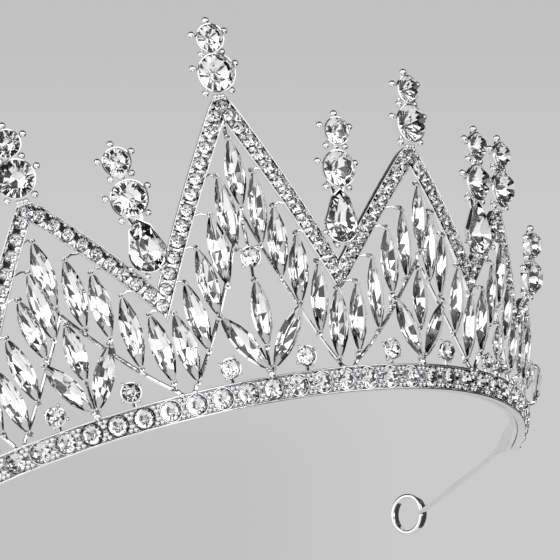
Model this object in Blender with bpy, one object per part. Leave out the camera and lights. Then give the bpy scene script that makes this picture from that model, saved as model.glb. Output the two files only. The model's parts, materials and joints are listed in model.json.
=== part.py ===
"""A bridal tiara: seven stone-set peaks on a band that ends in two flat hairpin loops.

Shapes are laid out on the tiara's leaning wall. u is the distance along the band from its
front centre (positive towards +X), v is the height up the wall, and out is the distance
outward from the plane that the small stones are set in. All three are in millimetres, and
the objects are written in metres. The front faces -Y and the band's underside lies in z = 0.
"""

import math

import bmesh
import bpy
from mathutils import Matrix, Vector

MM = 0.001

# The band's curve, seen from above, and how far the wall leans outward.
FRONT_RADIUS = 92.0
CURL = 5.2e-7
FRONT_LEAN = math.radians(19.0)
LEAN_GROWTH = 0.15e-4
DEPTH_CENTRE = 38.46
BASE_LIFT = 0.45
PLAN_STEP = 0.25

# The head band: a flat strip that narrows past the stone rail, rises and ends in loops.
BAND_HEIGHT = 5.2
BAND_BACK = -1.6
BAND_FRONT = -0.4
BAND_STEP = 4.0
WALL_END = 86.0
TAIL_LENGTH = 54.5
TAIL_BEND_START = 0.0243
TAIL_BEND_END = -0.0068
TAIL_RISE = 2.1
NARROWING = (96.0, 9.0)
TAIL_SHIFT = (120.0, 20.0, 0.85)
TAIL_HEIGHT = 0.9
TAIL_THICKNESS = 1.3
LOOP_CENTRE = Vector((63.9, 99.1 - DEPTH_CENTRE, 6.7))
LOOP_HEADING = math.radians(120.0)
LOOP_RADIUS = 4.15
LOOP_WIRE = 1.0
LOOP_WIDTH = 2.2
LOOP_SIDES = 22

# The rail of round stones in front of the band, cast in three lengths.
STONE_PITCH = 5.2
STONE_RADIUS = 2.0
STONE_TOP = 1.7
STONES_EACH_SIDE = 18
RAIL_JOINT = 49.4
RAIL_END = 96.1
RAIL_BACK = -0.1
RAIL_FLOOR = 0.35
RAIL_RIM = 1.0
RAIL_RIM_WIDTH = 0.45
GAP = 0.3

# The peaks of one side: the centre line and apex of each, and the valleys between, as (u, v).
LEG_WIDTH = 3.3
LEG_BACK = -0.6
LEG_FLOOR = 0.2
LEG_RIM = 0.6
LEG_RIM_WIDTH = 0.3
LEG_STATIONS = 6
APEX_TRIM = 0.9
LEG_LOWEST = 5.6
APEXES = {"centre": (0.0, 60.0), "inner": (35.2, 48.4), "outer": (58.1, 38.8), "end": (72.0, 24.0)}
VALLEYS = {"front": (17.4, 23.2), "side": (49.7, 23.6), "rear": (67.0, 18.0), "foot": (82.5, 7.2)}
PEAK_SPANS = {"inner": ("front", "side"), "outer": ("side", "rear"), "end": ("rear", "foot")}

# Marquise stones under each peak: the lower tip's distance from the centre line and height,
# the lean away from the front in degrees, and the length. The last one of each side stands
# at the foot of the end peak, and is given as u, v, out and its length.
MARQUISE_WIDTH = 3.5
MARQUISE_OUT = 1.8
CENTRE_FAN = (
    (2.5, 30.5, 4, 15), (5, 23.5, 3, 15), (8, 18, 6, 15), (11, 12, 7, 15), (14.5, 6.4, 6, 15),
)
FANS = {
    "inner": ((0, 27.5, 2, 15), (-3.5, 22, 0, 15), (-7.3, 18.8, 0, 14.5), (-11.1, 11.6, 0, 15),
              (-16.2, 7.4, 5, 15), (2.2, 21.8, 3, 15), (4.6, 18.8, 6, 14), (8.4, 11.6, 7, 15),
              (12, 6.5, 7, 14.5)),
    "outer": ((0, 19.5, 0, 14), (-3.1, 14.5, 1, 14), (-6.2, 8.5, 2, 14), (2.7, 13, 3, 12.5),
              (5.9, 6.6, 4, 11.5)),
    "end": ((0, 6.8, 2, 13.5), (-3.4, 6.8, 1, 9.5), (4, 6.8, 5, 6.5)),
}
CENTRE_TIP = 38.5
LAST_MARQUISE = (85.0, 6.4, 2.4, 9.0)

# The arch wire that carries a fan: its reach on each side of the centre line, its height, and
# how much it bows in.
ARCHES = {
    "centre": (15.0, 15.0, 38.2, 0.0516),
    "inner": (16.7, 13.6, 26.3, 0.0266),
    "outer": (6.9, 7.0, 19.0, 0.0),
    "end": (3.6, 7.0, 6.25, 0.0),
}
ARCH_FOOT = 6.1
WIRE_RADIUS = 0.5
WIRE_OUT = 0.6
CLAW_RADIUS = 0.55
CLAW_BACK = 0.25
CLAW_FRONT = 2.3
LONGEST_STUB = 4.0
LEG_CLEARANCE = 0.9

# The lily under each arch: its base, the upright stone, the two side stones, the accents.
LILIES = {
    "centre": {"base": 0.0, "upright": (10.6, 13.8), "spread": (7.9, 7.9), "accents": (7.75, 2.0)},
    "inner": {"base": 34.4, "upright": (12.2, 12.3), "spread": (6.0, 6.2), "accents": (7.3, 2.0)},
    "outer": {"base": 57.9, "upright": (7.6, 8.6), "spread": (), "accents": (2.8, 1.5)},
}
LILY_SPREAD_TOP = 17.3
LILY_BASE = 6.3
LILY_CROWN = (28.8, 2.1)

# Claw-set finials: one above each peak, and one with a pear stone in each front valley.
LARGE_RADIUS = 3.75
SMALL_RADIUS = 2.7
LARGE_RISE = 5.8
SMALL_RISE = 12.8
FINIAL_LEANS = {"centre": 0.0, "inner": -3.0, "outer": -8.0, "end": -8.0}
DROPS = {"front": (18.1, 35.0, 5.0), "side": (49.9, 34.4, -1.0)}
DROP_OUT = 0.9
DROP_LARGE_RADIUS = 3.6
DROP_LARGE_RISE = 9.5
DROP_SMALL_RISE = 17.1
PEAR_LENGTH = 10.6
PEAR_WIDTH = 7.0
CUP_OUTSIDE = 0.35
CUP_INSIDE = 0.1
CUP_HEIGHT = 1.5
LINK_RADIUS = 0.65
PRONG = ((0.45, 0.1, 0.4), (0.93, 0.65, 0.65), (0.93, 1.2, 0.25))
ROUND_PRONGS = (18, 90, 162, 234, 306)
PEAR_PRONGS = (200, 250, 290, 340)


def smooth(t):
    return t * t * (3.0 - 2.0 * t)


def ramp(s, start, length):
    return smooth(min(max((s - start) / length, 0.0), 1.0))


def along_tail(s):
    """How far past the wall's end s is, as a fraction of the tail."""
    return min(max((s - WALL_END) / TAIL_LENGTH, 0.0), 1.0)


def heading(s):
    """The band's direction in plan at distance s from the front centre, as an angle from +X."""
    wall = min(s, WALL_END)
    tail = max(s - WALL_END, 0.0)
    swing = (TAIL_BEND_END - TAIL_BEND_START) * tail * tail / (2.0 * TAIL_LENGTH)
    return wall / FRONT_RADIUS + CURL * wall**3 + TAIL_BEND_START * tail + swing


def lean(s):
    upright = 1.0 - smooth(along_tail(s))
    return (FRONT_LEAN + LEAN_GROWTH * min(s, WALL_END) ** 2) * upright


def plan_curve():
    """Points of the band's curve at every PLAN_STEP."""
    points = [(0.0, -DEPTH_CENTRE)]
    while (len(points) - 1) * PLAN_STEP < WALL_END + TAIL_LENGTH + 4.0 * PLAN_STEP:
        turn = heading((len(points) - 0.5) * PLAN_STEP)
        x, y = points[-1]
        points.append((x + PLAN_STEP * math.cos(turn), y + PLAN_STEP * math.sin(turn)))
    return points


PLAN = plan_curve()


def wall_axes(u):
    """The wall's base point at u, and its along, up and outward directions there."""
    side = -1.0 if u < 0 else 1.0
    s = abs(u)
    index = min(int(s / PLAN_STEP), len(PLAN) - 2)
    start, stop = Vector(PLAN[index]), Vector(PLAN[index + 1])
    x, y = start.lerp(stop, s / PLAN_STEP - index)
    base = Vector((side * x, y, BASE_LIFT + TAIL_RISE * along_tail(s) ** 2))
    level = Vector((side * math.sin(heading(s)), -math.cos(heading(s)), 0.0))
    upright = Vector((0.0, 0.0, 1.0))
    up = math.cos(lean(s)) * upright + math.sin(lean(s)) * level
    outward = math.cos(lean(s)) * level - math.sin(lean(s)) * upright
    return base, up.cross(outward), up, outward


def wall_point(u, v, out):
    base, _, up, outward = wall_axes(u)
    return base + v * up + out * outward


def wall_frame(u, v, out, lean_degrees=0.0):
    """Axes for a rigid piece on the wall: X along the band, Y up the wall, Z outward."""
    _, along, up, outward = wall_axes(u)
    frame = Matrix((along, up, outward)).transposed().to_4x4()
    frame.translation = wall_point(u, v, out)
    return frame @ Matrix.Rotation(math.radians(-lean_degrees), 4, "Z")


def loft(rings, closed=False):
    """A closed solid through rings of points, with end faces unless it closes on itself."""
    solid = bmesh.new()
    rows = [[solid.verts.new(point) for point in ring] for ring in rings]
    pairs = list(zip(rows, rows[1:]))
    if closed:
        pairs.append((rows[-1], rows[0]))
    for low, high in pairs:
        for i in range(len(low)):
            j = (i + 1) % len(low)
            solid.faces.new((low[i], low[j], high[j], high[i]))
    if not closed:
        solid.faces.new(rows[0])
        solid.faces.new(rows[-1])
    bmesh.ops.recalc_face_normals(solid, faces=solid.faces)
    return solid


def placed(solid, frame):
    solid.transform(frame)
    return solid


def tube(points, radius, sides=5):
    """A wire through points."""
    rings = []
    for i, point in enumerate(points):
        ahead = points[min(i + 1, len(points) - 1)] - points[max(i - 1, 0)]
        across = ahead.cross(Vector((0.31, 0.17, 0.94))).normalized()
        over = across.cross(ahead).normalized()
        turns = [2.0 * math.pi * k / sides for k in range(sides)]
        spokes = [across * math.cos(turn) + over * math.sin(turn) for turn in turns]
        rings.append([point + radius * spoke for spoke in spokes])
    return loft(rings)


def circle(radius, sides):
    """Corners of a round outline, starting at the top."""
    turns = [math.pi * (0.5 + 2.0 * k / sides) for k in range(sides)]
    return [Vector((radius * math.cos(a), radius * math.sin(a), 0.0)) for a in turns]


def marquise(length, width, steps=4):
    """Two arcs that meet in a point at the bottom and the top."""
    heights = [-0.5 * length * math.cos(math.pi * k / steps) for k in range(steps + 1)]
    side = [Vector((0.5 * width * (1.0 - (2.0 * y / length) ** 2), y, 0.0)) for y in heights]
    return side + [Vector((-point.x, point.y, 0.0)) for point in side[-2:0:-1]]


def pear(length, width, steps=7):
    """A round foot and two straight sides that meet in a point at the top."""
    radius = 0.5 * width
    centre = radius - 0.5 * length
    tangent = math.acos(radius / (length - radius))
    sweep = 2.0 * (math.pi - tangent)
    turns = [0.5 * math.pi - tangent - sweep * k / steps for k in range(steps + 1)]
    arc = [Vector((radius * math.cos(a), centre + radius * math.sin(a), 0.0)) for a in turns]
    return arc + [Vector((0.0, 0.5 * length, 0.0))]


def raised(outline, scale, height):
    return [Vector((scale * point.x, scale * point.y, height)) for point in outline]


def gem(outline, crown, pavilion, table=0.55):
    """A cut stone: a flat table, a girdle at height 0, and a pavilion down to a small culet."""
    rings = ((0.06, -pavilion), (1.0, 0.0), (table, crown))
    return loft([raised(outline, scale, height) for scale, height in rings])


def dome(radius, height):
    """A round stone as it stands out of its seat."""
    outline = circle(radius, 8)
    return loft([raised(outline, 1.0, 0.1), raised(outline, 0.6, height)])


def cup(outline):
    """An open ring that a stone sits on."""
    rings = []
    for point in outline:
        outer = point + CUP_OUTSIDE * point.normalized()
        inner = point - CUP_INSIDE * point.normalized()
        top = Vector((0.0, 0.0, CUP_HEIGHT))
        rings.append([outer, outer + top, inner + top, inner])
    return loft(rings, closed=True)


def prongs(outline, turns):
    """Ball-tipped claws beside a cup, at the outline's corners nearest to the given angles.

    PRONG holds each level's reach past the corner, its height and its radius.
    """
    pieces = []
    for turn in turns:
        ray = Vector((math.cos(math.radians(turn)), math.sin(math.radians(turn)), 0.0))
        corner = max(outline, key=lambda point: point.normalized().dot(ray))
        away = corner.normalized()
        side = away.cross(Vector((0.0, 0.0, 1.0)))
        rings = []
        for reach, height, radius in PRONG:
            centre = corner + reach * away + Vector((0.0, 0.0, height))
            rings.append([centre + radius * spoke for spoke in (away, side, -away, -side)])
        pieces.append(loft(rings))
    return pieces


def new_object(name, solid, material):
    """Writes a solid in millimetres as an object in metres."""
    solid.transform(Matrix.Scale(MM, 4))
    mesh = bpy.data.meshes.new(name)
    solid.to_mesh(mesh)
    solid.free()
    mesh.materials.append(material)
    thing = bpy.data.objects.new(name, mesh)
    bpy.context.scene.collection.objects.link(thing)
    thing.parent = ROOT
    return thing


def joined(name, solids):
    """One silver object from overlapping solids."""
    first = new_object(name, solids[0], SILVER)
    helpers = bpy.data.collections.new("helpers")
    for solid in solids[1:]:
        helper = new_object("helper", solid, SILVER)
        bpy.context.scene.collection.objects.unlink(helper)
        helpers.objects.link(helper)
    union = first.modifiers.new("Join", "BOOLEAN")
    union.operation = "UNION"
    union.operand_type = "COLLECTION"
    union.collection = helpers
    graph = bpy.context.evaluated_depsgraph_get()
    whole = bpy.data.meshes.new_from_object(first.evaluated_get(graph))
    first.modifiers.clear()
    first.data = whole
    for helper in list(helpers.objects):
        bpy.data.objects.remove(helper)
    bpy.data.collections.remove(helpers)
    return first


def mirrored(thing, name):
    """The same piece on the other side of the tiara."""
    solid = bmesh.new()
    solid.from_mesh(thing.data)
    solid.transform(Matrix.Scale(-1.0 / MM, 4, Vector((1.0, 0.0, 0.0))))
    solid.transform(Matrix.Scale(1.0 / MM, 4, Vector((0.0, 1.0, 0.0))))
    solid.transform(Matrix.Scale(1.0 / MM, 4, Vector((0.0, 0.0, 1.0))))
    bmesh.ops.reverse_faces(solid, faces=solid.faces)
    return new_object(name, solid, thing.data.materials[0])


def principled(name, colour, roughness, metallic, transmission=0.0):
    material = bpy.data.materials.new(name)
    material.use_nodes = True
    shader = material.node_tree.nodes["Principled BSDF"]
    shader.inputs["Base Color"].default_value = (*colour, 1.0)
    shader.inputs["Roughness"].default_value = roughness
    shader.inputs["Metallic"].default_value = metallic
    shader.inputs["Transmission Weight"].default_value = transmission
    return material


def spaced(start, stop, step):
    count = max(1, round(abs(stop - start) / step))
    return [start + (stop - start) * k / count for k in range(count + 1)]


def strip_section(u):
    """The head band's cross-section at u, level underneath along the wall."""
    share = ramp(abs(u), *NARROWING)
    begins, length, shift = TAIL_SHIFT
    middle = 0.5 * BAND_HEIGHT
    reach = middle + share * (0.5 * TAIL_HEIGHT - middle)
    centre = 0.5 * (BAND_BACK + BAND_FRONT) + shift * ramp(abs(u), begins, length)
    half = 0.5 * (BAND_FRONT - BAND_BACK)
    half += share * (0.5 * TAIL_THICKNESS - half)
    low = []
    for out in (centre + half, centre - half):
        level = (out * math.sin(lean(abs(u))) - BASE_LIFT) / math.cos(lean(abs(u)))
        low.append(wall_point(u, level + share * (middle - reach - level), out))
    high = [wall_point(u, middle + reach, out) for out in (centre - half, centre + half)]
    return low + high


def loop(side):
    """The flat ring at the end of a tail."""
    radial = Vector((side * math.cos(LOOP_HEADING), math.sin(LOOP_HEADING), 0.0))
    axis = Vector((math.sin(LOOP_HEADING), -side * math.cos(LOOP_HEADING), 0.0))
    centre = Vector((side * LOOP_CENTRE.x, LOOP_CENTRE.y, LOOP_CENTRE.z))
    upright = Vector((0.0, 0.0, 1.0))
    rings = []
    for k in range(LOOP_SIDES):
        turn = 2.0 * math.pi * k / LOOP_SIDES
        ray = math.cos(turn) * radial + math.sin(turn) * upright
        corners = ((-1, -1), (1, -1), (1, 1), (-1, 1))
        rings.append([
            centre + (LOOP_RADIUS + 0.5 * LOOP_WIRE * a) * ray + 0.5 * LOOP_WIDTH * b * axis
            for a, b in corners
        ])
    return loft(rings, closed=True)


def make_head_band():
    end = WALL_END + TAIL_LENGTH + 0.5
    strip = loft([strip_section(u) for u in spaced(-end, end, BAND_STEP)])
    joined("head_band", [strip, loop(1.0), loop(-1.0)])


def channel_section(bottom, top, rim, depths):
    """Cross-section of a shallow channel, open to the front, with depths (back, floor, rim)."""
    back, floor, front = depths
    low = [(bottom, back), (bottom, front), (bottom + rim, front), (bottom + rim, floor)]
    high = [(top - rim, floor), (top - rim, front), (top, front), (top, back)]
    return low + high


def make_rail(name, start, stop):
    """A channel with a row of round stones between two raised edges."""
    section = channel_section(0.0, BAND_HEIGHT, RAIL_RIM_WIDTH, (RAIL_BACK, RAIL_FLOOR, RAIL_RIM))
    stations = spaced(start, stop, STONE_PITCH)
    channel = loft([[wall_point(u, v, out) for v, out in section] for u in stations])
    stones = []
    for k in range(-STONES_EACH_SIDE, STONES_EACH_SIDE + 1):
        if start < k * STONE_PITCH < stop:
            seat = wall_frame(k * STONE_PITCH, 0.5 * BAND_HEIGHT, 0.0)
            stones.append(placed(dome(STONE_RADIUS, STONE_TOP), seat))
    return joined(name, [channel] + stones)


def leg_rise(start, stop):
    """Half the upright extent of a leg that runs between two points of the wall."""
    slope = (stop[1] - start[1]) / (stop[0] - start[0])
    return 0.5 * LEG_WIDTH * math.hypot(1.0, slope)


def peak_corners(peak):
    """The left valley, apex and right valley of a peak, each as (u, v)."""
    if peak == "centre":
        u, v = VALLEYS["front"]
        return (-u, v), APEXES[peak], (u, v)
    first, last = PEAK_SPANS[peak]
    return VALLEYS[first], APEXES[peak], VALLEYS[last]


def leg_middle(peak, u):
    """Height of the legs' centre line at u, and half their upright extent there."""
    left, apex, right = peak_corners(peak)
    at_apex = 0.5 * (leg_rise(left, apex) + leg_rise(apex, right))
    valley = left if u < apex[0] else right
    share = min(abs((u - apex[0]) / (valley[0] - apex[0])), 1.0)
    extent = at_apex + share * (leg_rise(valley, apex) - at_apex)
    return apex[1] + share * (valley[1] - apex[1]), extent


def make_frame(peak):
    """The two channelled legs of a peak, mitred at the apex and at the valleys."""
    left, apex, right = peak_corners(peak)
    stations = [left[0] + 0.7 * GAP]
    stations += spaced(left[0], apex[0], abs(apex[0] - left[0]) / LEG_STATIONS)[1:]
    stations += spaced(apex[0], right[0], abs(right[0] - apex[0]) / LEG_STATIONS)[1:-1]
    stations += [right[0] - 0.7 * GAP]
    rings = []
    for u in stations:
        middle, extent = leg_middle(peak, u)
        top = min(middle + extent, apex[1] + APEX_TRIM)
        bottom = max(middle - extent, LEG_LOWEST)
        rim = LEG_RIM_WIDTH * 2.0 * extent / LEG_WIDTH
        section = channel_section(bottom, top, rim, (LEG_BACK, LEG_FLOOR, LEG_RIM))
        rings.append([wall_point(u, v, out) for v, out in section])
    solids = [loft(rings)]
    if peak == "end":
        u, v, out, length = LAST_MARQUISE
        solids.append(set_marquise(u, v, 0.0, length, out))
        arm = (right[0] - 1.0, v + 0.9, 0.0), (u, v + 0.9, 0.0), (u, v + 0.6, out)
        solids.append(tube([wall_point(*point) for point in arm], CLAW_RADIUS))
    return joined("frame_" + peak, solids)


def arch_height(peak, offset):
    """Height of the arch wire at a distance from the peak's centre line."""
    inner, outer, height, bow = ARCHES[peak]
    reach = inner if offset < 0 else outer
    slope = (height - ARCH_FOOT + bow * reach * reach) / reach
    return height - slope * abs(offset) + bow * offset * offset


def set_marquise(u, v, lean_degrees, length, out=MARQUISE_OUT):
    """A marquise stone whose lower tip is at (u, v)."""
    middle = upward(wall_frame(u, v, out, lean_degrees), 0.5 * length)
    return placed(gem(marquise(length, MARQUISE_WIDTH), 0.9, 1.1), middle)


def claw(u, v):
    """A pin that stands forward over the tip of a stone."""
    return tube([wall_point(u, v, CLAW_BACK), wall_point(u, v, CLAW_FRONT)], CLAW_RADIUS, 4)


def strut(u, v, foot_u, foot_v):
    """A straight wire behind the stones."""
    return tube([wall_point(foot_u, foot_v, WIRE_OUT), wall_point(u, v, WIRE_OUT)], WIRE_RADIUS, 4)


def leg_reach(peak, u, v):
    """How far sideways from (u, v), away from the peak's centre line, its leg's underside is."""
    side = math.copysign(1.0, u - APEXES[peak][0])
    reach = 0.0
    while reach < LONGEST_STUB:
        middle, extent = leg_middle(peak, u + side * reach)
        if middle - extent < v:
            break
        reach += 0.1
    return side * reach


def make_fan(peak):
    """The arch wire of a peak with its marquise stones standing on it, held by claws."""
    axis = APEXES[peak][0]
    inner, outer, _, _ = ARCHES[peak]
    offsets = spaced(-inner, 0.0, inner / 5)[:-1] + spaced(0.0, outer, outer / 5)
    arch = [wall_point(axis + x, arch_height(peak, x), WIRE_OUT) for x in offsets]
    solids = [tube(arch, WIRE_RADIUS)]
    if peak == "centre":
        seats = [(0.0, CENTRE_TIP, 0.0, 15.0)]
        for side in (-1, 1):
            seats += [(side * x, v, side * tilt, size) for x, v, tilt, size in CENTRE_FAN]
    else:
        seats = FANS[peak]
    for x, v, tilt, size in seats:
        u = axis + x
        solids.append(set_marquise(u, v, tilt, size))
        solids.append(claw(u, v))
        if abs(v - arch_height(peak, x)) > WIRE_RADIUS:
            solids.append(strut(u, v, u, arch_height(peak, x)))
        top_u = u + size * math.sin(math.radians(tilt))
        top_v = v + size * math.cos(math.radians(tilt))
        reach = leg_reach(peak, top_u, top_v)
        if x and LEG_CLEARANCE + CLAW_RADIUS < abs(reach) < LONGEST_STUB:
            stop = top_u + reach - math.copysign(LEG_CLEARANCE, reach)
            solids += [claw(top_u, top_v), strut(top_u, top_v, stop, top_v)]
    return joined("marquise_fan_" + peak, solids)


def make_lily(peak):
    """The upright stone, side stones and round accents that stand on the rail under an arch."""
    lily = LILIES[peak]
    base = lily["base"]
    reach, radius = lily["accents"]
    wire = [wall_point(u, LILY_BASE, WIRE_OUT) for u in spaced(base - reach, base + reach, 4.0)]
    solids = [tube(wire, WIRE_RADIUS)]
    low, length = lily["upright"]
    solids.append(set_marquise(base, low, 2.0 if base else 0.0, length))
    solids += [claw(base, low), strut(base, low, base, LILY_BASE)]
    for side, spread in zip((-1, 1), lily["spread"]):
        rise = LILY_SPREAD_TOP - LILY_BASE
        tilt = math.degrees(math.atan2(spread, rise))
        solids.append(set_marquise(base, LILY_BASE, side * tilt, math.hypot(spread, rise)))
    solids.append(claw(base, LILY_BASE))
    accents = [(base + side * reach, LILY_BASE + 0.9 * radius, radius) for side in (-1, 1)]
    if peak == "centre":
        crown, size = LILY_CROWN
        accents.append((base, crown, size))
        stem = (low + length - 1.0, MARQUISE_OUT - 0.3), (crown, 1.0)
        solids.append(tube([wall_point(base, v, out) for v, out in stem], WIRE_RADIUS))
    for u, v, size in accents:
        solids.append(placed(dome(size, STONE_TOP), wall_frame(u, v, 0.0)))
    return joined("lily_" + peak, solids)


def stone_in_cup(name, outline, frame):
    """A finial stone, held just clear of its cup."""
    size = min(point.length for point in outline)
    seat = frame @ Matrix.Translation(Vector((0.0, 0.0, CUP_HEIGHT + GAP)))
    return new_object(name, placed(gem(outline, 0.34 * size, 0.5 * size), seat), CRYSTAL)


def link(frame, low, high):
    """A short bar between two cups of one finial."""
    rise = 0.5 * CUP_HEIGHT
    return placed(tube([Vector((0.0, low, rise)), Vector((0.0, high, rise))], LINK_RADIUS), frame)


def setting(outline, turns, frame):
    """A cup and its prongs."""
    return [placed(piece, frame) for piece in [cup(outline)] + prongs(outline, turns)]


def upward(frame, distance):
    return frame @ Matrix.Translation(Vector((0.0, distance, 0.0)))


def make_finial(peak):
    """The two-stone finial above a peak."""
    u, v = APEXES[peak]
    frame = wall_frame(u, v + LARGE_RISE, 0.0, FINIAL_LEANS[peak])
    top = upward(frame, SMALL_RISE - LARGE_RISE)
    large, small = circle(LARGE_RADIUS, 12), circle(SMALL_RADIUS, 10)
    solids = setting(large, ROUND_PRONGS, frame) + setting(small, ROUND_PRONGS, top)
    solids.append(link(frame, LARGE_RADIUS, SMALL_RISE - LARGE_RISE - SMALL_RADIUS))
    return [
        joined("finial_setting_" + peak, solids),
        stone_in_cup("finial_stone_large_" + peak, large, frame),
        stone_in_cup("finial_stone_small_" + peak, small, top),
    ]


def make_drop(valley):
    """The pear, large and small stones that stand in a valley."""
    u, v, tilt = DROPS[valley]
    frame = wall_frame(u, v, DROP_OUT, tilt)
    middle, top = upward(frame, DROP_LARGE_RISE), upward(frame, DROP_SMALL_RISE)
    foot, large = pear(PEAR_LENGTH, PEAR_WIDTH), circle(DROP_LARGE_RADIUS, 12)
    small = circle(SMALL_RADIUS, 10)
    solids = setting(foot, PEAR_PRONGS, frame) + setting(large, ROUND_PRONGS, middle)
    solids += setting(small, ROUND_PRONGS, top)
    solids.append(link(frame, 0.5 * PEAR_LENGTH, DROP_LARGE_RISE - DROP_LARGE_RADIUS))
    solids.append(link(frame, DROP_LARGE_RISE + DROP_LARGE_RADIUS, DROP_SMALL_RISE - SMALL_RADIUS))
    return [
        joined("drop_setting_" + valley, solids),
        stone_in_cup("drop_pear_" + valley, foot, frame),
        stone_in_cup("drop_stone_large_" + valley, large, middle),
        stone_in_cup("drop_stone_small_" + valley, small, top),
    ]


for old in list(bpy.data.objects):
    bpy.data.objects.remove(old)
ROOT = bpy.data.objects.new("tiara", None)
bpy.context.scene.collection.objects.link(ROOT)
SILVER = principled("bright_silver", (0.86, 0.87, 0.88), 0.12, 1.0)
CRYSTAL = principled("clear_crystal", (0.95, 0.96, 0.97), 0.02, 0.0, 1.0)

make_head_band()
make_rail("stone_rail_centre", -RAIL_JOINT, RAIL_JOINT)
make_frame("centre")
make_fan("centre")
make_lily("centre")
make_finial("centre")
right = [make_rail("stone_rail", RAIL_JOINT + GAP, RAIL_END)]
right += [make_frame(peak) for peak in PEAK_SPANS]
right += [make_fan(peak) for peak in PEAK_SPANS]
right += [make_lily(peak) for peak in LILIES if peak != "centre"]
for peak in PEAK_SPANS:
    right += make_finial(peak)
for valley in DROPS:
    right += make_drop(valley)
for piece in right:
    mirrored(piece, piece.name + "_left")
    piece.name += "_right"
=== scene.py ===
"""Looks of a bridal tiara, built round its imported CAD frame.

Shapes are laid out on the leaning wall, as in part.py: u is the distance along the band from
the front centre, v the height up the wall and out the distance outward from the plane of the
small stones, all in millimetres. Meshes are made in millimetres and scaled to metres.
"""

import json
import math

import bmesh
import bpy
from mathutils import Matrix, Vector

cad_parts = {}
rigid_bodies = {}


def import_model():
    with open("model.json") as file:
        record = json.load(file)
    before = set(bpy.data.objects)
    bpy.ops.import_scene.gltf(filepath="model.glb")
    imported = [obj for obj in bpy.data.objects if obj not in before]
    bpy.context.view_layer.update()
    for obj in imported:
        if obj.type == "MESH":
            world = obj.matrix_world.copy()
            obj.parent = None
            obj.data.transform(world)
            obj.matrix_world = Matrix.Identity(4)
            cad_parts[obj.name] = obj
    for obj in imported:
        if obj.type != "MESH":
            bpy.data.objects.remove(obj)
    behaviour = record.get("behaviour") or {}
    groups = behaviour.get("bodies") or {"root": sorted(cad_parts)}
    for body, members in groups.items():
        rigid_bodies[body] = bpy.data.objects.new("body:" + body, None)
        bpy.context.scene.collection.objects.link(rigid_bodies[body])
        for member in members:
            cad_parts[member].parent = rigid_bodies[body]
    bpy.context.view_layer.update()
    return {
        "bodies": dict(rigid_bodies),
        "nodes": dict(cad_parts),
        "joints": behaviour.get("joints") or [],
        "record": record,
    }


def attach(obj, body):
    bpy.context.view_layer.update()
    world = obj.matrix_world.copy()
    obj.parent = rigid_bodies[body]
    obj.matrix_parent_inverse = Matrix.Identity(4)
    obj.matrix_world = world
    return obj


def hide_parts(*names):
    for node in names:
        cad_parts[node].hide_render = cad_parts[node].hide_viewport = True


MM = 0.001

# ---------------------------------------------------------------- the wall, as in part.py
FRONT_RADIUS = 92.0
CURL = 5.2e-7
FRONT_LEAN = math.radians(19.0)
LEAN_GROWTH = 0.15e-4
DEPTH_CENTRE = 38.46
BASE_LIFT = 0.45
PLAN_STEP = 0.25
WALL_END = 86.0
TAIL_LENGTH = 54.5
TAIL_BEND_START = 0.0243
TAIL_BEND_END = -0.0068
TAIL_RISE = 2.1


def smooth(t):
    """Eases t, which runs from 0 to 1, in and out."""
    return t * t * (3.0 - 2.0 * t)


def ramp(s, start, length):
    """Rises smoothly from 0 at start to 1 at start + length."""
    return smooth(min(max((s - start) / length, 0.0), 1.0))


def along_tail(s):
    """The share of the tail that lies before s: 0 all along the wall, 1 at the tail's end."""
    return min(max((s - WALL_END) / TAIL_LENGTH, 0.0), 1.0)


def heading(s):
    """How far the band has turned from straight across at s, in radians."""
    wall = min(s, WALL_END)
    tail = max(s - WALL_END, 0.0)
    swing = (TAIL_BEND_END - TAIL_BEND_START) * tail * tail / (2.0 * TAIL_LENGTH)
    return wall / FRONT_RADIUS + CURL * wall**3 + TAIL_BEND_START * tail + swing


def lean(s):
    """How far the wall leans outward at s, in radians. The tail straightens up again."""
    upright = 1.0 - smooth(along_tail(s))
    return (FRONT_LEAN + LEAN_GROWTH * min(s, WALL_END) ** 2) * upright


def plan_curve():
    """The right half of the band seen from above, as points PLAN_STEP apart."""
    points = [(0.0, -DEPTH_CENTRE)]
    while (len(points) - 1) * PLAN_STEP < WALL_END + TAIL_LENGTH + 4.0 * PLAN_STEP:
        turn = heading((len(points) - 0.5) * PLAN_STEP)
        x, y = points[-1]
        points.append((x + PLAN_STEP * math.cos(turn), y + PLAN_STEP * math.sin(turn)))
    return points


PLAN = plan_curve()


def wall_axes(u):
    """The wall's base point at u, and its along, up and outward directions there."""
    side = -1.0 if u < 0 else 1.0
    s = abs(u)
    index = min(int(s / PLAN_STEP), len(PLAN) - 2)
    x, y = Vector(PLAN[index]).lerp(Vector(PLAN[index + 1]), s / PLAN_STEP - index)
    base = Vector((side * x, y, BASE_LIFT + TAIL_RISE * along_tail(s) ** 2))
    level = Vector((side * math.sin(heading(s)), -math.cos(heading(s)), 0.0))
    upright = Vector((0.0, 0.0, 1.0))
    up = math.cos(lean(s)) * upright + math.sin(lean(s)) * level
    outward = math.cos(lean(s)) * level - math.sin(lean(s)) * upright
    return base, up.cross(outward), up, outward


def wall_point(u, v, out):
    base, _, up, outward = wall_axes(u)
    return base + v * up + out * outward


def wall_frame(u, v, out, lean_degrees=0.0):
    """Axes for a rigid piece on the wall: X along the band, Y up the wall, Z outward."""
    _, along, up, outward = wall_axes(u)
    frame = Matrix((along, up, outward)).transposed().to_4x4()
    frame.translation = wall_point(u, v, out)
    return frame @ Matrix.Rotation(math.radians(-lean_degrees), 4, "Z")


def upward(frame, distance):
    """The same axes, moved up their own Y axis."""
    return frame @ Matrix.Translation(Vector((0.0, distance, 0.0)))


def spaced(start, stop, step):
    """Evenly spaced values from start to stop, about step apart."""
    count = max(1, round(abs(stop - start) / step))
    return [start + (stop - start) * k / count for k in range(count + 1)]


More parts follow.
